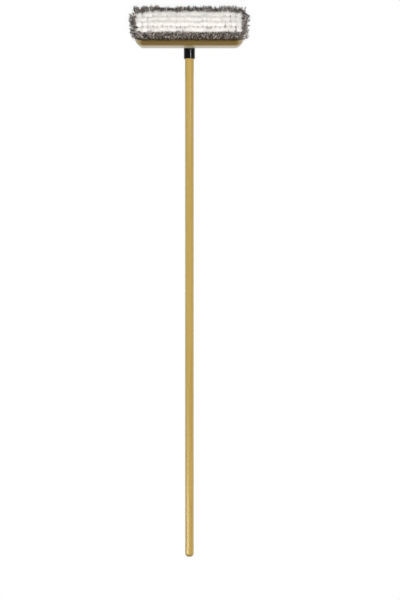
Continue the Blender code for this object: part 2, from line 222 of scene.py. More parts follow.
rings = block_rings(*block_edge())
block = new_piece(
    "block", on_block(rings.reshape(-1, 3)), *tube_faces(1, rings.shape[0], rings.shape[1])
)
tuft_feet, tuft_ways = tuft_places()
feet, ways = tuft_feet.reshape(-1, 3), tuft_ways.reshape(-1, 3)
centres = feet[:, None] + ways[:, None] * np.array(HOLE_HEIGHTS)[:, None]
holes = tubes(centres, np.array(HOLE_RADII)[None, :, None], ways, HOLE_SIDES)
cut(block, new_piece(
    "holes", on_block(holes.reshape(-1, 3)), *tube_faces(len(feet), len(HOLE_HEIGHTS), HOLE_SIDES)
))

# Handle bore. It takes the ferrule's sleeve for a few millimetres, then its screw. Its own thread
# is cut outside the screw's crests, so the handle also slides straight out.
BORE_CLEARANCE = 0.0003
GROOVE_DEPTH = 0.0011
GROOVE_START = 0.0010            # from the shoulder to the thread's first ring
TIP_LENGTH, TIP_RADIUS, TIP_CHAMFER = 0.0254, 0.0095, 0.0015
THREAD_PITCH = 0.00508
THREAD_CREST, THREAD_ROOT = 0.40, 0.36  # shares of the pitch
THREAD_RINGS_PER_TURN = 24
ROUND_SIDES = 96
SLEEVE_RADIUS = 0.0154
BORE_START = -0.045              # where the cut for the bore starts, outside the block


def thread_rise(distance):
    """How far up the thread's side each point is, from 0 at its root to 1 at its crest.

    A point's place in the pitch is its distance along the axis in pitches less its share of a turn,
    and the thread is a ridge with straight flanks about the middle of the pitch.
    """
    share = np.arange(ROUND_SIDES) / ROUND_SIDES
    place = np.mod(distance[:, None] / THREAD_PITCH - share, 1.0)
    from_crest = 2 * np.abs(place - 0.5)
    return np.clip((1 - THREAD_ROOT - from_crest) / (1 - THREAD_CREST - THREAD_ROOT), 0.0, 1.0)


def on_handle(distance, radius, name):
    """A closed turned piece on the handle's axis, from radii at distances past the shoulder."""
    centres = (distance[:, None] * handle_axes[1] + shoulder)[None]
    radii = np.broadcast_to(radius, (len(distance), ROUND_SIDES))[None]
    points = tubes(centres, radii, handle_axes[1:2], ROUND_SIDES)
    return new_piece(name, points.reshape(-1, 3), *tube_faces(1, len(distance), ROUND_SIDES))


handle_way = -np.array(frame["joints"][0]["axis"])
handle_axes = np.array([[1.0, 0.0, 0.0], handle_way, np.cross([1.0, 0.0, 0.0], handle_way)])
ferrule_low, ferrule_high = reach("ferrule", handle_axes)
ferrule_middle = (ferrule_low + ferrule_high) / 2
shoulder = np.array(
    [ferrule_middle[0], ferrule_high[1] - TIP_LENGTH, ferrule_middle[2]]
) @ handle_axes

thread_rings = round(TIP_LENGTH / THREAD_PITCH * THREAD_RINGS_PER_TURN)
grooved = np.linspace(GROOVE_START, TIP_LENGTH - TIP_CHAMFER, thread_rings)
bore_radius = TIP_RADIUS + BORE_CLEARANCE
fade = np.clip((TIP_LENGTH - TIP_CHAMFER - grooved) / THREAD_PITCH * 2, 0.0, 1.0)[:, None]
distance = np.r_[BORE_START, BORE_CLEARANCE, BORE_CLEARANCE, grooved, TIP_LENGTH + BORE_CLEARANCE]
radius = np.concatenate([
    np.full((2, ROUND_SIDES), SLEEVE_RADIUS + BORE_CLEARANCE),
    np.full((1, ROUND_SIDES), bore_radius),
    bore_radius + GROOVE_DEPTH * fade * thread_rise(grooved),
    np.full((1, ROUND_SIDES), bore_radius - TIP_CHAMFER),
])
cut(block, on_handle(distance, radius, "bore"))


def new_group(name, inputs, outputs):
    """A shader node group, with its input sockets and the sockets that it puts out."""
    tree = bpy.data.node_groups.new(name, "ShaderNodeTree")
    for label, kind in inputs.items():
        tree.interface.new_socket(label, in_out="INPUT", socket_type="NodeSocket" + kind)
    for label, kind in outputs.items():
        tree.interface.new_socket(label, in_out="OUTPUT", socket_type="NodeSocket" + kind)
    given = tree.nodes.new("NodeGroupInput").outputs
    return tree, given, tree.nodes.new("NodeGroupOutput").inputs


def node(tree, kind, inputs=None, **settings):
    """A new node with its settings, and with its inputs set to values or linked to sockets."""
    new = tree.nodes.new("ShaderNode" + kind)
    for name, value in settings.items():
        setattr(new, name, value)
    for name, value in (inputs or {}).items():
        if isinstance(value, bpy.types.NodeSocket):
            tree.links.new(value, new.inputs[name])
        else:
            new.inputs[name].default_value = value
    return new


def maths(tree, operation, *values):
    """What one Math node gives for its values."""
    return node(tree, "Math", dict(enumerate(values)), operation=operation).outputs[0]


def vectors(tree, operation, *values):
    """What one Vector Math node gives for its values."""
    made = node(tree, "VectorMath", dict(enumerate(values)), operation=operation)
    return made.outputs["Value" if operation in ("LENGTH", "DOT_PRODUCT") else "Vector"]


def noise(tree, place, stretch, detail=2.0, rough=0.5):
    """Noise on a place that is first multiplied by how many features each metre has, each way."""
    spot = vectors(tree, "MULTIPLY", place, stretch)
    settings = {"Vector": spot, "Scale": 1.0, "Detail": detail, "Roughness": rough}
    return node(tree, "TexNoise", settings)


def ramp(tree, value, start, end, low=0.0, high=1.0):
    """Goes smoothly from low to high while the value goes from start to end."""
    settings = {"Value": value, "From Min": start, "From Max": end, "To Min": low, "To Max": high}
    return node(tree, "MapRange", settings, interpolation_type="SMOOTHSTEP").outputs[0]


def mixed(tree, share, first, second, blend="MIX"):
    """The first colour with a share of the second mixed in."""
    made = node(tree, "Mix", {0: share, 6: first, 7: second}, data_type="RGBA", blend_type=blend)
    return made.outputs[2]


# Timber. Growth rings round a pith outside the piece, long streaks, short fibres and open pores,
# all drawn out along the grain, which is the place's first direction.
WANDER_SCALE = (2.0, 12.0, 12.0)         # features in each metre, along the grain and across it
STREAK_SCALE = (7.0, 330.0, 330.0)
BROAD_SCALE = (2.0, 40.0, 40.0)
FIBRE_SCALE = (90.0, 3600.0, 3600.0)
FLECK_SCALE = (420.0, 6500.0, 6500.0)
RING_WANDER = 0.014                      # how far a growth ring strays from its circle
RING_POWER = 2.2
RING_SHARE, STREAK_SHARE, BROAD_SHARE = 0.30, 0.42, 0.28

timber, given, out = new_group(
    "timber", {"Place": "Vector", "Ring Width": "Float"},
    {"Figure": "Float", "Fibre": "Float", "Pores": "Float", "Height": "Float"},
)
wander = noise(timber, given["Place"], WANDER_SCALE, 3.0).outputs["Color"]
wander = vectors(timber, "SCALE", vectors(timber, "SUBTRACT", wander, (0.5, 0.5, 0.5)))
wander.node.inputs["Scale"].default_value = RING_WANDER
square = vectors(timber, "ADD", given["Place"], wander)
square = vectors(timber, "MULTIPLY", square, (0.0, 1.0, 1.0))
count = maths(timber, "DIVIDE", vectors(timber, "LENGTH", square), given["Ring Width"])
ring = maths(timber, "POWER", maths(timber, "FRACT", count), RING_POWER)
streak = noise(timber, given["Place"], STREAK_SCALE, 4.0, 0.6).outputs[0]
broad = noise(timber, given["Place"], BROAD_SCALE, 3.0).outputs[0]
fibre = noise(timber, given["Place"], FIBRE_SCALE, 3.0, 0.6).outputs[0]
flecks = noise(timber, given["Place"], FLECK_SCALE, 1.0).outputs[0]
figure = maths(timber, "MULTIPLY", ring, RING_SHARE)
figure = maths(timber, "ADD", figure, ramp(timber, streak, 0.30, 0.72, 0.0, STREAK_SHARE))
figure = maths(timber, "ADD", figure, ramp(timber, broad, 0.30, 0.70, 0.0, BROAD_SHARE))
pores = ramp(timber, flecks, 0.62, 0.72)
raised, sunk = maths(timber, "MULTIPLY", fibre, 0.5), maths(timber, "MULTIPLY", pores, 0.6)
height = maths(timber, "SUBTRACT", raised, sunk)
timber.links.new(figure, out["Figure"])
timber.links.new(ramp(timber, fibre, 0.30, 0.70), out["Fibre"])
timber.links.new(pores, out["Pores"])
timber.links.new(height, out["Height"])

# Handling. Faint smudges, and fine straight scratches two ways, that a lacquered, moulded or metal
# surface picks up in use. The scratches come in patches.
SMUDGE_SCALE = (45.0, 45.0, 45.0)        # features in each metre, each way
SCRATCH_SCALE = (60.0, 1500.0, 900.0)
CROSS_SCRATCH_SCALE = (50.0, 1300.0, 1300.0)
CROSS_SCRATCH_TURN = (0.5, 0.4, 0.7)
SCRATCHED_PATCH_SCALE = (16.0, 16.0, 16.0)

handling, given, out = new_group(
    "handling", {"Place": "Vector"}, {"Smudges": "Float", "Scratches": "Float", "Height": "Float"}
)
smudge = noise(handling, given["Place"], SMUDGE_SCALE, 5.0, 0.6).outputs[0]
along = noise(handling, given["Place"], SCRATCH_SCALE, 2.0).outputs[0]
turned_place = node(
    handling, "Mapping", {"Vector": given["Place"], "Rotation": CROSS_SCRATCH_TURN}
).outputs[0]
across = noise(handling, turned_place, CROSS_SCRATCH_SCALE, 2.0).outputs[0]
along, across = ramp(handling, along, 0.69, 0.74), ramp(handling, across, 0.70, 0.75)
patch = noise(handling, given["Place"], SCRATCHED_PATCH_SCALE, 2.0).outputs[0]
scratch = maths(handling, "MAXIMUM", along, across)
scratch = maths(handling, "MULTIPLY", scratch, ramp(handling, patch, 0.45, 0.65))
handling.links.new(ramp(handling, smudge, 0.35, 0.70), out["Smudges"])
handling.links.new(scratch, out["Scratches"])
handling.links.new(
    maths(handling, "SUBTRACT", maths(handling, "MULTIPLY", smudge, 0.15), scratch), out["Height"]
)


def new_finish(name, **values):
    """A material, its node tree and its shader, whose plain values are set on its own sockets."""
    material = bpy.data.materials.new(name)
    material.use_nodes = True
    shader = material.node_tree.nodes["Principled BSDF"]
    for label, value in values.items():
        shader.inputs[label.replace("_", " ")].default_value = value
    return material, material.node_tree, shader.inputs


def local_place(tree, origin, axes):
    """Object coordinates turned into distances along three axes from an origin."""
    turn = Matrix(np.transpose(axes).tolist()).to_euler()
    spot = node(tree, "TexCoord").outputs["Object"]
    inputs = {"Vector": spot, "Location": tuple(origin), "Rotation": tuple(turn)}
    return node(tree, "Mapping", inputs, vector_type="TEXTURE").outputs[0]


def grouped(tree, group, **inputs):
    """A shader node group placed in a material, with its inputs set or linked, and its outputs."""
    made = tree.nodes.new("ShaderNodeGroup")
    made.node_tree = group
    for name, value in inputs.items():
        name = name.replace("_", " ")
        if isinstance(value, bpy.types.NodeSocket):
            tree.links.new(value, made.inputs[name])
        else:
            made.inputs[name].default_value = value
    return made.outputs


def finished(piece, material, body, slot, *nodes):
    """Gives a piece its material and body, and puts it in place of its CAD nodes; slot is unused."""
    piece.data.materials.clear()
    piece.data.materials.append(material)
    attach(piece, body)
    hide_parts(*nodes)


LACQUER_ROUGHNESS, SMUDGE_ROUGHNESS, RUBBED_ROUGHNESS = 0.42, 0.12, 0.15
LACQUER_RELIEF, MARK_RELIEF = 0.0002, 0.4        # depth of the grain, and the marks' share of it
BLOCK_RING_WIDTH = 0.0042
BLOCK_PITH = (0.31, 0.035, 0.075)                # from the pith's line to the block's origin
BLOCK_PALE, BLOCK_DARK = (0.237, 0.154, 0.043, 1.0), (0.145, 0.087, 0.023, 1.0)
BLOCK_FIBRE, BLOCK_PORE = (0.86, 0.84, 0.80, 1.0), (0.10, 0.05, 0.016, 1.0)
# The first colour below is painted shade under the tufts. It is also used for a darker band over the bend.
SHADE_AND_BAND, PALE_ENDS = (0.050, 0.028, 0.006, 1.0), (0.500, 0.415, 0.210, 1.0)
# The first colour below is a painted reflection of the white floor in the bevel's lacquer.
BEVEL_SHEEN, RUBBED = (0.565, 0.540, 0.430, 1.0), (0.47, 0.32, 0.13, 1.0)
BLOCK_SCRATCH = (0.50, 0.36, 0.17, 1.0)
SHADE_DEPTH, FACE_SHADE = 0.0090, 0.75           # from the face: painted shade under the overhanging tufts
BAND_TOP, BAND_DARKENING = (0.0090, 0.0055), 0.26    # a fainter darker band over the bend
BAND_FOOT = (0.0012, 0.0034)
CORNER_REACH = (0.0220, 0.0040)                  # paler ends, measured in from the block's ends
# Painted reflection on the bevel: none at the bend, rising below it, and fading out at the back.
BEVEL_SHEEN_REACH, BEVEL_SHEEN_SHARE, BEVEL_SHEEN_FOOT = 0.0090, 0.56, 0.0030
GLOSS_EDGE, SIDE_GLOSS, FOOT_GLOSS = (-0.0012, 0.0004), 0.06, 0.30
RUBBED_REACH = (0.0003, 0.0016)                  # from the bend and from the face's edge


def share_of(tree, mask, share):
    """A mask made fainter."""
    return maths(tree, "MULTIPLY", mask, share)


block_lacquer, tree, shader = new_finish(
    "block lacquer", Coat_Roughness=0.18, Coat_IOR=2.0, Specular_IOR_Level=0.1,
)
place = local_place(tree, block_origin, block_axes)
grain = grouped(
    tree, timber, Ring_Width=BLOCK_RING_WIDTH, Place=vectors(tree, "ADD", place, BLOCK_PITH)
)
marks = grouped(tree, handling, Place=place)
colour = mixed(tree, grain["Figure"], BLOCK_PALE, BLOCK_DARK)
colour = mixed(tree, grain["Fibre"], mixed(tree, 1.0, colour, BLOCK_FIBRE, "MULTIPLY"), colour)
colour = mixed(tree, share_of(tree, grain["Pores"], 0.55), colour, BLOCK_PORE)
spot = node(tree, "SeparateXYZ", {"Vector": place}).outputs
up, corner = spot[2], maths(tree, "ABSOLUTE", spot[0])
corner = ramp(
    tree, corner, block_half_length - CORNER_REACH[0], block_half_length - CORNER_REACH[1]
)
face = float(block_thickness)
# Painted shade: the side darkens towards the face under the overhanging tufts, less so at the ends. A fainter
# darker band lies over the bend.
shade_and_band = ramp(tree, up, face - SHADE_DEPTH, face, 0.0, FACE_SHADE)
band = maths(
    tree, "MULTIPLY",
    ramp(tree, up, BEVEL_HEIGHT + BAND_TOP[0], BEVEL_HEIGHT + BAND_TOP[1], 0.0, BAND_DARKENING),
    ramp(tree, up, BEVEL_HEIGHT + BAND_FOOT[0], BEVEL_HEIGHT + BAND_FOOT[1]),
)
shade_and_band = maths(tree, "MAXIMUM", shade_and_band, band)
shade_and_band = maths(tree, "MULTIPLY", shade_and_band, maths(tree, "SUBTRACT", 1.0, share_of(tree, corner, 0.75)))
colour = mixed(tree, shade_and_band, colour, SHADE_AND_BAND)
# The bevel below the bend is paled by a painted reflection of the white floor in its lacquer.
bevel_sheen = maths(
    tree, "MULTIPLY", ramp(tree, up, BEVEL_HEIGHT, BEVEL_HEIGHT - BEVEL_SHEEN_REACH, 0.0, BEVEL_SHEEN_SHARE),
    ramp(tree, up, 0.0, BEVEL_SHEEN_FOOT),
)
colour = mixed(tree, share_of(tree, corner, 0.48), colour, PALE_ENDS)
colour = mixed(tree, bevel_sheen, colour, BEVEL_SHEEN)
coat = ramp(
    tree, up, BEVEL_HEIGHT + GLOSS_EDGE[0], BEVEL_HEIGHT + GLOSS_EDGE[1], 1.0, SIDE_GLOSS
)
coat = maths(tree, "MAXIMUM", coat, share_of(tree, corner, 0.6))
coat = maths(tree, "MULTIPLY", coat, ramp(tree, up, 0.0, 0.0040, FOOT_GLOSS, 1.0))
tree.links.new(coat, shader["Coat Weight"])
from_bend = maths(tree, "ABSOLUTE", maths(tree, "SUBTRACT", up, BEVEL_HEIGHT))
from_face = maths(tree, "ABSOLUTE", maths(tree, "SUBTRACT", up, face))
from_edge = maths(tree, "MINIMUM", from_bend, from_face)
rubbed = maths(tree, "MULTIPLY", ramp(tree, from_edge, *RUBBED_REACH, 1.0, 0.0), marks["Smudges"])
colour = mixed(tree, share_of(tree, rubbed, 0.2), colour, RUBBED)
colour = mixed(tree, share_of(tree, marks["Scratches"], 0.25), colour, BLOCK_SCRATCH)
tree.links.new(colour, shader["Base Color"])
rough = share_of(tree, marks["Smudges"], SMUDGE_ROUGHNESS)
rough = maths(tree, "ADD", rough, LACQUER_ROUGHNESS)
rough = maths(tree, "ADD", rough, share_of(tree, rubbed, RUBBED_ROUGHNESS))
tree.links.new(rough, shader["Roughness"])
relief = maths(tree, "ADD", grain["Height"], share_of(tree, marks["Height"], MARK_RELIEF))
bump = node(tree, "Bump", {"Height": relief, "Strength": 0.35, "Distance": LACQUER_RELIEF})
tree.links.new(bump.outputs[0], shader["Normal"])
finished(block, block_lacquer, "head", "block_wood", "brush_block")

# Bristle tufts. Each is a bundle of tapered synthetic filaments, folded double and stapled into a
# hole. It fans out as it rises, its filaments gather into pointed locks, and their tips are split.
FILAMENTS_IN_TUFT = 120
LOCKS_IN_TUFT = 10
BRISTLE_LENGTH = 0.0445
ROOT_DEPTH = 0.0030
BUNDLE_RADIUS = 0.0032
LOCK_RING = 0.76                 # radius of the outer locks' middles, as a share of the tip spread
LOCK_SCATTER, TIP_SCATTER = 0.10, 0.07           # shares of the tip spread
STRAY_SHARE, STRAY_REACH = 0.05, 0.5             # filaments that stand out of their tuft
TUFT_UNEVEN, FILAMENT_UNEVEN = 0.025, 0.02       # shares of the bristle length
LOCK_POINT = 0.10                # how much shorter a lock's outside is than its middle
TUFT_BEND, BEND_POWER = 0.0012, 1.6
DRIFT_POWER = 0.90
WAVE, WAVES = 0.00035, 1.7       # how far a filament waves, and how often in its length
FILAMENT_RADII = (0.00034, 0.00034, 0.00032, 0.00029, 0.00023, 0.00012)
FILAMENT_RISE = np.array([0.0, 0.18, 0.38, 0.58, 0.80, 1.0])
FILAMENT_SIDES = 3
SPLITS = 4
SPLIT_RADII = (0.00016, 0.00006)
SPLIT_RISE = (0.85, 1.0)
SPLIT_FROM, SPLIT_TO = (-0.30, 0.60), (-0.15, 0.30)  # shares of the last step of a filament
HEART = 0.60                     # of the bristle length, up to the middle of a tuft's rounded top
GOLDEN_ANGLE = math.pi * (3 - math.sqrt(5))


def tuft_filaments(feet, ways, seed, spread, gathered, split, uneven, streaked, palest, trim):
    """Centres of the rings of each filament and of its splits, with the tone of each filament.

    A filament starts on a sunflower spiral in its hole and runs along its tuft's way. As it rises
    it drifts sideways by a power of the share risen, from its place in the bundle to a place in
    the same direction in the wider spread of the tips, gathered by a share of the way towards the
    nearest of the tuft's locks, with a small sideways wave. A split runs from near the last ring
    but one to near the last.
    """
    rng = np.random.default_rng(seed)
    tufts, number = len(feet), np.arange(FILAMENTS_IN_TUFT)
    shape = (tufts, FILAMENTS_IN_TUFT)
    turn = number * GOLDEN_ANGLE + rng.uniform(0, 2 * math.pi, (tufts, 1))
    out = np.sqrt((number + 0.5) / FILAMENTS_IN_TUFT)
    spot = np.stack([out * np.cos(turn), out * np.sin(turn)], axis=-1)
    lock_turn = np.linspace(0, 2 * math.pi, LOCKS_IN_TUFT)[:-1] + rng.uniform(0, 7, (tufts, 1))
    lock = LOCK_RING * np.stack([np.cos(lock_turn), np.sin(lock_turn)], axis=-1)
    lock = np.concatenate([np.zeros((tufts, 1, 2)), lock], axis=1)
    lock += rng.normal(0, LOCK_SCATTER, lock.shape)
    apart = np.linalg.norm(spot[:, :, None] - lock[:, None], axis=-1)
    nearest = apart.argmin(axis=2)
    drawn = np.take_along_axis(lock, nearest[..., None], axis=1) - spot
    tip = spot + gathered * drawn + rng.normal(0, TIP_SCATTER, spot.shape)
    stray = np.where(rng.random(shape) < STRAY_SHARE, 1.0, 0.0)[..., None]
    tip += stray * rng.normal(0, STRAY_REACH, spot.shape)
    lock_long = np.take_along_axis(rng.normal(0, uneven, (tufts, LOCKS_IN_TUFT)), nearest, axis=1)
    long = 1 + rng.normal(0, TUFT_UNEVEN, (tufts, 1)) + lock_long
    long = long + rng.normal(0, FILAMENT_UNEVEN, shape)
    long = BRISTLE_LENGTH * trim * (long - LOCK_POINT * apart.min(axis=2))
    side = np.cross([0.0, 1.0, 0.0], ways)
    side /= np.linalg.norm(side, axis=-1, keepdims=True)
    sides = np.stack([side, np.cross(ways, side)], axis=1)
    bend = rng.normal(0, TUFT_BEND, (tufts, 2))
    rise = FILAMENT_RISE[:, None]
    flat = BUNDLE_RADIUS * spot[:, :, None] * (1 - rise)
    flat = flat + spread * tip[:, :, None] * rise**DRIFT_POWER
    flat = flat + bend[:, None, None] * rise**BEND_POWER
    phase = rng.uniform(0, 2 * math.pi, (*shape, 1, 2))
    flat += WAVE * np.sin(phase + 2 * math.pi * WAVES * rise) * rise
    up = -ROOT_DEPTH + FILAMENT_RISE * (long[..., None] + ROOT_DEPTH)
    centres = feet[:, None, None] + up[..., None] * ways[:, None, None]
    centres = centres + np.einsum("tfrk,tkx->tfrx", flat, sides)
    last, above = centres[:, :, -1], centres[:, :, -1] - centres[:, :, -2]
    splits = []
    for _ in range(SPLITS):
        start = centres[:, :, -2] + rng.uniform(*SPLIT_FROM, (*shape, 1)) * above
        end = last + rng.uniform(*SPLIT_TO, (*shape, 1)) * above
        end = end + np.einsum("tfk,tkx->tfx", rng.normal(0, split, (*shape, 2)), sides)
        splits.append(np.stack([start, end], axis=2))
    tone = np.take_along_axis(rng.random((tufts, LOCKS_IN_TUFT)), nearest, axis=1)
    tone = palest * (streaked * tone + (1 - streaked) * rng.random(shape))
    return centres.reshape(-1, len(FILAMENT_RISE), 3), np.concatenate(
        [split.reshape(-1, 2, 3) for split in splits]
    ), tone.ravel()


def bristle_piece(name, rows, columns, seed, soft, dust_and_shade, **habit):
    """One mesh of the filaments of the tufts in these rows and columns, with their tone and rise.

    A point's shading normal is mixed from straight out of its filament and, by the soft share,
    straight out of its tuft, whose outside is a cylinder with a rounded top, because light soaks
    through from one filament to the next. Rise goes from 0 at the root to 1 at the tip, and is
    divided by how far up the dust and the painted shade at the root reach.
    """
    feet = tuft_feet[rows, columns].reshape(-1, 3)
    ways = tuft_ways[rows, columns].reshape(-1, 3)
    whole, splits, tone = tuft_filaments(feet, ways, seed, **habit)
    parts, normals = [], []
    for centres, radii in ((whole, FILAMENT_RADII), (splits, SPLIT_RADII)):
        along = centres[:, -1] - centres[:, 0]
        along /= np.linalg.norm(along, axis=-1, keepdims=True)
        radii = np.array(radii)[None, :, None]
        points = tubes(centres, radii, along, FILAMENT_SIDES)
        turn = np.resize(np.repeat(np.arange(len(feet)), FILAMENTS_IN_TUFT), len(centres))
        foot, way = feet[turn][:, None, None], ways[turn][:, None, None]
        up = ((points - foot) * way).sum(axis=-1, keepdims=True)
        up = np.minimum(up, HEART * BRISTLE_LENGTH)
        out = points - foot - up * way
        out /= np.linalg.norm(out, axis=-1, keepdims=True)
        own = (points - centres[:, :, None]) / radii[..., None]
        parts.append(points.reshape(-1, 3))
        normals.append((out * soft + own * (1 - soft)).reshape(-1, 3))
    walls, caps = tube_faces(len(whole), len(FILAMENT_RISE), FILAMENT_SIDES)
    split_walls, split_caps = tube_faces(len(splits), len(SPLIT_RISE), FILAMENT_SIDES)
    past = len(parts[0])
    piece = new_piece(
        name, on_block(np.concatenate(parts)), walls, split_walls + past, caps, split_caps + past
    )
    tones = np.r_[
        np.repeat(tone, FILAMENT_SIDES * len(FILAMENT_RISE)),
        np.repeat(np.tile(tone, SPLITS), FILAMENT_SIDES * len(SPLIT_RISE)),
    ]
    rises = np.r_[
        np.tile(np.repeat(FILAMENT_RISE, FILAMENT_SIDES), len(whole)),
        np.tile(np.repeat(SPLIT_RISE, FILAMENT_SIDES), len(splits)),
    ]
    shaded = np.concatenate(normals) @ block_axes
    shaded /= np.linalg.norm(shaded, axis=1, keepdims=True)
    piece.data.normals_split_custom_set_from_vertices(shaded)
    for label, values in (("tone", tones), ("rise", rises / dust_and_shade)):
        attribute = piece.data.attributes.new(label, "FLOAT", "POINT")
        attribute.data.foreach_set("value", values.astype(np.float32))
    return piece


# Bristle tone. How light a filament is, from its own tone and a mottle that runs over the tufts,
# and how much dust and painted shade lie at its root.
MOTTLE_SCALE = (190.0, 190.0, 190.0)             # features in each metre, each way
BAND_SCALE = (900.0, 900.0, 900.0)
MOTTLED = (0.10, 1.8)                            # least tone kept, and what the mottle adds
DUST_AND_SHADE_REACH = (0.30, 0.95)                        # of the rise, where the dust and painted shade thin out

bristle_tone, given, out = new_group(
    "bristle tone", {"Tone": "Float", "Rise": "Float", "Place": "Vector"},
    {"Light": "Float", "Root": "Float", "Height": "Float"},
)
mottle = noise(bristle_tone, given["Place"], MOTTLE_SCALE, 2.0).outputs[0]
mottle = ramp(bristle_tone, mottle, 0.40, 0.60)
band = noise(bristle_tone, given["Place"], BAND_SCALE, 2.0).outputs[0]
light = maths(bristle_tone, "ADD", share_of(bristle_tone, mottle, MOTTLED[1]), MOTTLED[0])
light = maths(bristle_tone, "MULTIPLY", given["Tone"], light)
bristle_tone.links.new(light, out["Light"])
# Root darkening: dust, and painted shade down among the filaments.
bristle_tone.links.new(ramp(bristle_tone, given["Rise"], *DUST_AND_SHADE_REACH, 1.0, 0.0), out["Root"])
bristle_tone.links.new(band, out["Height"])


def bristle_finish(name, dark, light, root, rough):
    """A synthetic filament's material, from its darkest and lightest colour and its root's."""
    material, tree, shader = new_finish(name, Specular_IOR_Level=0.35)
    read = {
        label: node(tree, "Attribute", attribute_name=label.lower()).outputs["Fac"]
        for label in ("Tone", "Rise")
    }
    tone = grouped(tree, bristle_tone, Place=node(tree, "TexCoord").outputs["Object"], **read)
    colour = mixed(tree, tone["Light"], (*dark, 1.0), (*light, 1.0))
    colour = mixed(tree, share_of(tree, tone["Root"], 0.8), colour, (*root, 1.0))
    tree.links.new(colour, shader["Base Color"])
    rough = maths(tree, "ADD", share_of(tree, tone["Light"], 0.15), rough)
    tree.links.new(rough, shader["Roughness"])
    bump = node(tree, "Bump", {"Height": tone["Height"], "Strength": 0.2, "Distance": 0.0001})
    tree.links.new(bump.outputs[0], shader["Normal"])
    return material


# Grey border tufts. One row on each long side and a column at each end, in charcoal filament whose
# shade differs from one to the next. Their habit is the radius of a tuft's tips, how far filaments
# gather into locks, how pale the palest is, how far up dust and painted shade reach and how short
# they are cut.
grey_filament = bristle_finish(
    "grey filament", (0.013, 0.010, 0.008), (0.885, 0.788, 0.712), (0.036, 0.020, 0.004), 0.42
)
END_TUFTS = slice(1, TUFT_ROWS - 1)
NEAR_ROW = {"spread": 0.0094, "gathered": 0.65, "palest": 1.0, "dust_and_shade": 1.0, "trim": 1.0}
# The far row is painted darker, and its root darkening reaches higher: painted shade from the white tufts in front
# of it.
FAR_ROW = {"spread": 0.0094, "gathered": 0.65, "palest": 0.62, "dust_and_shade": 1.50, "trim": 0.96}
END = {"spread": 0.0110, "gathered": 0.45, "palest": 0.70, "dust_and_shade": 1.0, "trim": 1.0}
for label, rows, columns, node_name, seed, habit in (
    ("grey_bristles_handle_side", 0, slice(None), "grey_row_handle_side", 11, NEAR_ROW),
    ("grey_bristles_far_side", TUFT_ROWS - 1, slice(None), "grey_row_far_side", 12, FAR_ROW),
    ("grey_bristles_left_end", END_TUFTS, 0, "grey_tufts_left_end", 15, END),
    ("grey_bristles_right_end", END_TUFTS, TUFT_COLUMNS - 1, "grey_tufts_right_end", 14, END),
):
    piece = bristle_piece(
        label, rows, columns, seed, 0.25, split=0.0009, uneven=0.055, streaked=0.75, **habit
    )
    finished(piece, grey_filament, "head", "grey_bristle", node_name)

# White centre tufts. Four rows of the same bristle in warm white. The pale filaments let most of
# the light through, so their shadows are faint.
SOAKED_THROUGH = 0.9             # of the light that a white filament would keep from those behind
white_filament = bristle_finish(
    "white filament", (0.900, 0.875, 0.830), (0.990, 0.972, 0.940), (0.560, 0.520, 0.480), 0.40
)
tree = white_filament.node_tree
clear = share_of(tree, node(tree, "LightPath").outputs["Is Shadow Ray"], SOAKED_THROUGH)
tree.links.new(maths(tree, "SUBTRACT", 1.0, clear), tree.nodes["Principled BSDF"].inputs["Alpha"])
for row in range(1, TUFT_ROWS - 1):
    piece = bristle_piece(
        f"white_bristles_{row}", row, slice(1, TUFT_COLUMNS - 1), 20 + row, 0.50,
        dust_and_shade=1.0, spread=0.0075, gathered=0.35, split=0.0025, uneven=0.018, streaked=0.60,
        palest=1.0, trim=1.0,
    )
    finished(piece, white_filament, "head", "white_bristle", f"white_row_{row}")

# Ferrule. One moulding in glossy black plastic: a threaded tip that screws into the block, a
# shoulder, and a sleeve with a socket that the handle is driven into.
SOCKET_FLOOR, SOCKET_RADIUS, SOCKET_CHAMFER = -0.0142, 0.0122, 0.0012
SLEEVE_EDGE_ROUND, LIP_ROUND = 0.0009, 0.0006
EDGE_STEPS = 6
THREAD_DEPTH = 0.0013
TIP_FADE = 3                     # the thread rises from the tip in the pitch over this
PIN_RADIUS, PIN_CLEARANCE = 0.0015, 0.0001
PIN_HOLE_REACH = (0.020, 0.004)  # the hole's outer and inner end, below the handle's axis
PIN_SIDES = 32


def rounded(distance, radius, size, start, end):
    """Points of a rounding of one size about a centre, from one angle to another in degrees.

    An angle is measured from straight out of the axis towards the tip. A point is the centre plus
    the size times the angle's sine along the axis and times its cosine out from it.
    """
    turn = np.radians(np.linspace(start, end, EDGE_STEPS + 1))
    return np.stack([distance + size * np.sin(turn), radius + size * np.cos(turn)], axis=-1)


def pin_hole():
    """A cutter for the pin's round hole, straight up from below the sleeve."""
    centres = shoulder + pin_distance * handle_way - np.outer(PIN_HOLE_REACH, handle_axes[2])
    radii = np.full((1, 2, 1), PIN_RADIUS + PIN_CLEARANCE)
    points = tubes(centres[None], radii, handle_axes[2:], PIN_SIDES)
    return new_piece("pin_hole", points.reshape(-1, 3), *tube_faces(1, 2, PIN_SIDES))


mouth = ferrule_low[1] - shoulder @ handle_way
pin_low, pin_high = reach("ferrule_pin", handle_axes)
pin_middle = (pin_low + pin_high) / 2
pin_distance = pin_middle[1] - shoulder @ handle_way
edge = SLEEVE_EDGE_ROUND
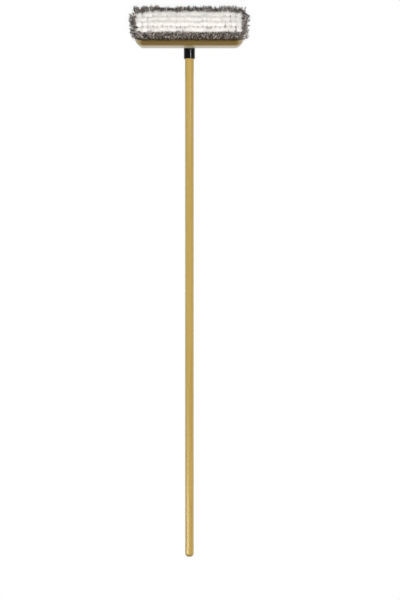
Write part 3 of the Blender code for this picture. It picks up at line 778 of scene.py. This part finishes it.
# The profile runs from the socket's floor out over the lip and the mouth's edge, along the sleeve
# and over the shoulder's edge. The thread's rings carry on from there to the tip.
socket = np.array([
    [SOCKET_FLOOR, SOCKET_RADIUS - SOCKET_CHAMFER], [SOCKET_FLOOR - SOCKET_CHAMFER, SOCKET_RADIUS]
])
lip = rounded(mouth + LIP_ROUND, SOCKET_RADIUS + LIP_ROUND, LIP_ROUND, 180.0, 270.0)
mouth_edge = rounded(mouth + edge, SLEEVE_RADIUS - edge, edge, -90.0, 0.0)
shoulder_edge = rounded(-edge, SLEEVE_RADIUS - edge, edge, 0.0, 90.0)
wall = np.array([[mouth + edge + EDGE_HOLD, SLEEVE_RADIUS], [-edge - EDGE_HOLD, SLEEVE_RADIUS]])
profile = np.concatenate([socket, lip, mouth_edge, wall, shoulder_edge])
threaded = np.linspace(0.0, TIP_LENGTH - TIP_CHAMFER, thread_rings)
core = TIP_RADIUS - THREAD_DEPTH
fade = (TIP_LENGTH - TIP_CHAMFER - threaded) / THREAD_PITCH * TIP_FADE
fade = np.clip(fade, 0.0, 1.0)[:, None]
distance = np.r_[profile[:, 0], threaded, TIP_LENGTH]
radius = np.concatenate([
    np.repeat(profile[:, 1:], ROUND_SIDES, axis=1),
    core + THREAD_DEPTH * fade * thread_rise(threaded),
    np.full((1, ROUND_SIDES), core - TIP_CHAMFER),
])
ferrule = on_handle(distance, radius, "ferrule_moulding")
cut(ferrule, pin_hole())

PLASTIC, SMUDGED = (0.0045, 0.0045, 0.0050, 1.0), (0.0080, 0.0078, 0.0080, 1.0)
PLASTIC_SCRATCH = (0.06, 0.06, 0.06, 1.0)
SINK_SCALE = (900.0, 900.0, 900.0)               # of the moulding's faint hollows

black_plastic, tree, shader = new_finish("black plastic", Specular_IOR_Level=0.12)
place = local_place(tree, shoulder, handle_axes)
marks = grouped(tree, handling, Place=place)
sink = noise(tree, place, SINK_SCALE, 2.0).outputs[0]
colour = mixed(tree, marks["Smudges"], PLASTIC, SMUDGED)
colour = mixed(tree, share_of(tree, marks["Scratches"], 0.5), colour, PLASTIC_SCRATCH)
tree.links.new(colour, shader["Base Color"])
rough = maths(tree, "ADD", share_of(tree, marks["Smudges"], 0.05), 0.08)
rough = maths(tree, "ADD", rough, share_of(tree, marks["Scratches"], 0.2))
tree.links.new(rough, shader["Roughness"])
relief = maths(tree, "ADD", share_of(tree, sink, 0.25), marks["Height"])
bump = node(tree, "Bump", {"Height": relief, "Strength": 0.12, "Distance": 0.0001})
tree.links.new(bump.outputs[0], shader["Normal"])
finished(ferrule, black_plastic, "handle_unit", "ferrule_plastic", "ferrule")

# Handle. A straight stick of pale hardwood, turned round, its free end rounded over, and dipped in
# clear lacquer. Its other end is driven into the ferrule's socket.
HANDLE_RADIUS, HANDLE_TOP, TOP_CHAMFER = 0.0119, -0.0145, 0.0010
END_ROUND, END_FLAT_RADIUS = 0.0100, 0.0030
END_STEPS = 14
TURNING_STEP = 0.020
TURNING_WAVER = 0.00004          # of the radius, where the cutter let the stick run thick or thin

handle_low, _ = reach("handle", handle_axes)
handle_end = handle_low[1] - shoulder @ handle_way
# The free end is a quarter of an ellipse round a small flat. Behind it the radius wavers a little.
turn = np.linspace(math.pi / 2, 0.0, END_STEPS + 1)
end_distance = handle_end + END_ROUND * (1 - np.sin(turn))
end_radius = END_FLAT_RADIUS + (HANDLE_RADIUS - END_FLAT_RADIUS) * np.cos(turn)
stick = np.arange(handle_end + END_ROUND + TURNING_STEP, HANDLE_TOP - TURNING_STEP, TURNING_STEP)
waver = np.random.default_rng(3).normal(0, TURNING_WAVER, len(stick))
distance = np.r_[end_distance, stick, HANDLE_TOP - TOP_CHAMFER, HANDLE_TOP]
radius = np.r_[end_radius, HANDLE_RADIUS + waver, HANDLE_RADIUS, HANDLE_RADIUS - TOP_CHAMFER]
handle = on_handle(distance, radius[:, None], "handle_stick")
cut(handle, pin_hole())

HANDLE_RING_WIDTH = 0.0034
HANDLE_PITH = (0.12, -0.020, 0.048)              # from the pith's line to the shoulder
HANDLE_PALE, HANDLE_DARK = (0.555, 0.410, 0.124, 1.0), (0.440, 0.300, 0.074, 1.0)
HANDLE_FIBRE, HANDLE_PORE = (0.90, 0.88, 0.85, 1.0), (0.24, 0.14, 0.045, 1.0)
HEARTWOOD, HEARTWOOD_EDGE = (1.0, 0.93, 0.86, 1.0), 0.004
END_GRAIN_AND_SHADE, END_GRAIN_AND_SHADE_REACH = (0.14, 0.09, 0.035, 1.0), (0.0095, 0.0030)
HANDLE_SCRATCH = (0.70, 0.56, 0.30, 1.0)
LACQUER_THINS, LACQUER_WEIGHT = (-0.050, -0.250), (0.15, 0.95)  # rubbed dull beside the collar

handle_lacquer, tree, shader = new_finish(
    "handle lacquer", Coat_Roughness=0.26, Coat_IOR=1.45, Specular_IOR_Level=0.1
)
place = local_place(tree, shoulder, [handle_axes[1], -handle_axes[0], handle_axes[2]])
grain = grouped(
    tree, timber, Ring_Width=HANDLE_RING_WIDTH, Place=vectors(tree, "ADD", place, HANDLE_PITH)
)
marks = grouped(tree, handling, Place=place)
colour = mixed(tree, grain["Figure"], HANDLE_PALE, HANDLE_DARK)
colour = mixed(tree, grain["Fibre"], mixed(tree, 1.0, colour, HANDLE_FIBRE, "MULTIPLY"), colour)
spot = node(tree, "SeparateXYZ", {"Vector": place}).outputs
heartwood = mixed(tree, 1.0, colour, HEARTWOOD, "MULTIPLY")
colour = mixed(tree, ramp(tree, spot[1], HEARTWOOD_EDGE, -HEARTWOOD_EDGE), colour, heartwood)
# The rounded free end is painted darker: the deeper stain of its end grain, and painted shade where the end turns
# away from the light.
end_grain_and_shade = ramp(
    tree, spot[0], handle_end + END_GRAIN_AND_SHADE_REACH[0], handle_end + END_GRAIN_AND_SHADE_REACH[1], 0.0, 0.80
)
colour = mixed(tree, end_grain_and_shade, colour, END_GRAIN_AND_SHADE)
colour = mixed(tree, share_of(tree, grain["Pores"], 0.40), colour, HANDLE_PORE)
colour = mixed(tree, share_of(tree, marks["Scratches"], 0.2), colour, HANDLE_SCRATCH)
tree.links.new(colour, shader["Base Color"])
coat = ramp(tree, spot[0], *LACQUER_THINS, *LACQUER_WEIGHT)
tree.links.new(coat, shader["Coat Weight"])
rough = share_of(tree, marks["Smudges"], SMUDGE_ROUGHNESS)
tree.links.new(maths(tree, "ADD", rough, LACQUER_ROUGHNESS), shader["Roughness"])
relief = maths(tree, "ADD", grain["Height"], share_of(tree, marks["Height"], MARK_RELIEF))
bump = node(tree, "Bump", {"Height": relief, "Strength": 0.2, "Distance": LACQUER_RELIEF})
tree.links.new(bump.outputs[0], shader["Normal"])
finished(handle, handle_lacquer, "handle_unit", "handle_wood", "handle")

# Pin. A plain pin of drawn steel wire, cut with a chamfer at both ends. It is driven in through
# the sleeve's underside, into the wood, and holds the handle in its socket.
PIN_HEAD_HEIGHTS, PIN_HEAD_INWARD = (0.0, 0.0002, 0.0004), (0.0005, 0.0002, 0.0)
PIN_POINT_CHAMFER = 0.0006

pin_length = pin_high[2] - pin_low[2]
pin_up = np.r_[PIN_HEAD_HEIGHTS, pin_length - PIN_POINT_CHAMFER, pin_length]
pin_radii = PIN_RADIUS - np.r_[PIN_HEAD_INWARD, 0.0, PIN_POINT_CHAMFER]
pin_foot = np.array([pin_middle[0], pin_middle[1], pin_low[2]]) @ handle_axes
centres = (pin_foot + np.outer(pin_up, handle_axes[2]))[None]
points = tubes(centres, pin_radii[None, :, None], handle_axes[2:], PIN_SIDES)
pin = new_piece("steel_pin", points.reshape(-1, 3), *tube_faces(1, len(pin_up), PIN_SIDES))
pin.data.set_sharp_from_angle(angle=math.radians(SHARP_ANGLE))

STEEL, DULLED_STEEL = (0.62, 0.61, 0.60, 1.0), (0.48, 0.46, 0.44, 1.0)
FINE_MARKS = (6.0, 6.0, 6.0)                     # how much finer the marks are on so small a piece
DRAWN_SCALE = (300.0, 9000.0, 9000.0)

drawn_steel, tree, shader = new_finish("drawn steel", Metallic=1.0)
place = local_place(tree, pin_foot, [handle_axes[2], handle_axes[0], handle_axes[1]])
marks = grouped(tree, handling, Place=vectors(tree, "MULTIPLY", place, FINE_MARKS))
drawn = noise(tree, place, DRAWN_SCALE, 2.0).outputs[0]
colour = mixed(tree, marks["Smudges"], STEEL, DULLED_STEEL)
tree.links.new(colour, shader["Base Color"])
tree.links.new(ramp(tree, drawn, 0.3, 0.7, 0.25, 0.42), shader["Roughness"])
bump = node(tree, "Bump", {"Height": drawn, "Strength": 0.2, "Distance": 0.00005})
tree.links.new(bump.outputs[0], shader["Normal"])
finished(pin, drawn_steel, "handle_unit", "pin_steel", "ferrule_pin")

# Studio. The brush lies on its back on a wide pale floor under soft light, in front of white, and
# the camera looks straight down from above the middle of the handle.
FLOOR_HALF, FLOOR_GAP = 30.0, 0.0002
PAPER, CARD = (0.90, 0.90, 0.90, 1.0), (0.80, 0.80, 0.79, 1.0)
PAPER_SHARE = 0.10               # of the floor that takes shadow, where the rest glows white
WHITE = (1.0, 1.0, 1.0, 1.0)
AMBIENT, CEILING = 0.34, 0.10    # the room's light on the brush, and in its gloss from above
WALL_TOP = (0.05, 0.30)          # where the bright walls give way to the dark ceiling

floor_height = cad_box[0][2] - FLOOR_GAP
corners = np.array([[-1, -1, 0], [1, -1, 0], [1, 1, 0], [-1, 1, 0]]) * FLOOR_HALF
floor = new_piece("floor", corners + (0, 0, floor_height), np.array([[0, 1, 2, 3]]))

material = bpy.data.materials.new("pale floor")
material.use_nodes = True
tree = material.node_tree
tree.nodes.clear()


def seen_rays(tree):
    """1 for rays that show the background: from the camera, off gloss and through glass."""
    path = node(tree, "LightPath").outputs
    seen = maths(tree, "MAXIMUM", path["Is Camera Ray"], path["Is Glossy Ray"])
    return maths(tree, "MAXIMUM", seen, path["Is Transmission Ray"])


glow = node(tree, "Emission", {"Color": WHITE, "Strength": 1.0}).outputs[0]
paper = node(tree, "BsdfDiffuse", {"Color": PAPER}).outputs[0]
card = node(tree, "BsdfDiffuse", {"Color": CARD}).outputs[0]
shown = node(tree, "MixShader", {0: PAPER_SHARE, 1: glow, 2: paper}).outputs[0]
surface = node(tree, "MixShader", {0: seen_rays(tree), 1: card, 2: shown}).outputs[0]
node(tree, "OutputMaterial", {"Surface": surface})
floor.data.materials.append(material)

world = bpy.data.worlds.new("studio")
bpy.context.scene.world = world
world.use_nodes = True
tree = world.node_tree
tree.nodes.clear()
sky = node(tree, "TexCoord").outputs["Generated"]
up = node(tree, "SeparateXYZ", {"Vector": sky}).outputs[2]
wall = ramp(tree, up, *WALL_TOP, 1.0, CEILING)
path = node(tree, "LightPath").outputs
strength = maths(tree, "MAXIMUM", path["Is Camera Ray"], path["Is Transmission Ray"])
gloss, room = maths(tree, "MULTIPLY", path["Is Glossy Ray"], wall), path["Is Diffuse Ray"]
strength = maths(tree, "MAXIMUM", strength, gloss)
strength = maths(tree, "MAXIMUM", strength, share_of(tree, room, AMBIENT))
backdrop = node(tree, "Background", {"Color": WHITE, "Strength": strength}).outputs[0]
node(tree, "OutputWorld", {"Surface": backdrop})


def lamp(name, kind, place, target, **settings):
    """A lamp at one point that shines towards another, its width square to the handle."""
    light = bpy.data.lights.new(name, kind)
    for label, value in settings.items():
        setattr(light, label, value)
    made = bpy.data.objects.new(name, light)
    way = np.array(target) - np.array(place)
    first = np.cross(way, [0.0, 1.0, 0.001])
    axes = np.array([first, np.cross(-way, first), -way])
    axes /= np.linalg.norm(axes, axis=1, keepdims=True)
    made.matrix_world = Matrix.Translation(place) @ Matrix(axes.T.tolist()).to_4x4()
    made.visible_camera = False
    bpy.context.scene.collection.objects.link(made)
    return made


# The sun is the light on the brush. The softboxes are there for the gloss alone: one for the collar
# and the head, one for the handle's free end.
key = lamp(
    "soft key", "SUN", (0.1, -1.3, 4.0), (0.0, 0.0, 0.0), energy=2.75, angle=math.radians(32.0)
)
key.visible_glossy = False
head_box = lamp(
    "head softbox", "AREA", (0.95, 0.865, 1.85), (0.0, 0.64, 0.02),
    energy=7.6, shape="RECTANGLE", size=0.54, size_y=0.06,
)
end_box = lamp(
    "end softbox", "AREA", (-1.68, -1.24, 1.75), (0.0, -0.60, 0.02),
    energy=51.0, color=(1.0, 0.97, 0.80), shape="RECTANGLE", size=1.85, size_y=0.80,
)
head_box.visible_diffuse = end_box.visible_diffuse = False

lens = bpy.data.cameras.new("camera")
lens.lens, lens.sensor_width, lens.clip_end = 105.0, 36.0, 100.0
camera = bpy.data.objects.new("camera", lens)
camera.location = (0.02944, -0.0502, 4.880)
bpy.context.scene.collection.objects.link(camera)
bpy.context.scene.camera = camera
bpy.context.scene.view_settings.view_transform = "Standard"
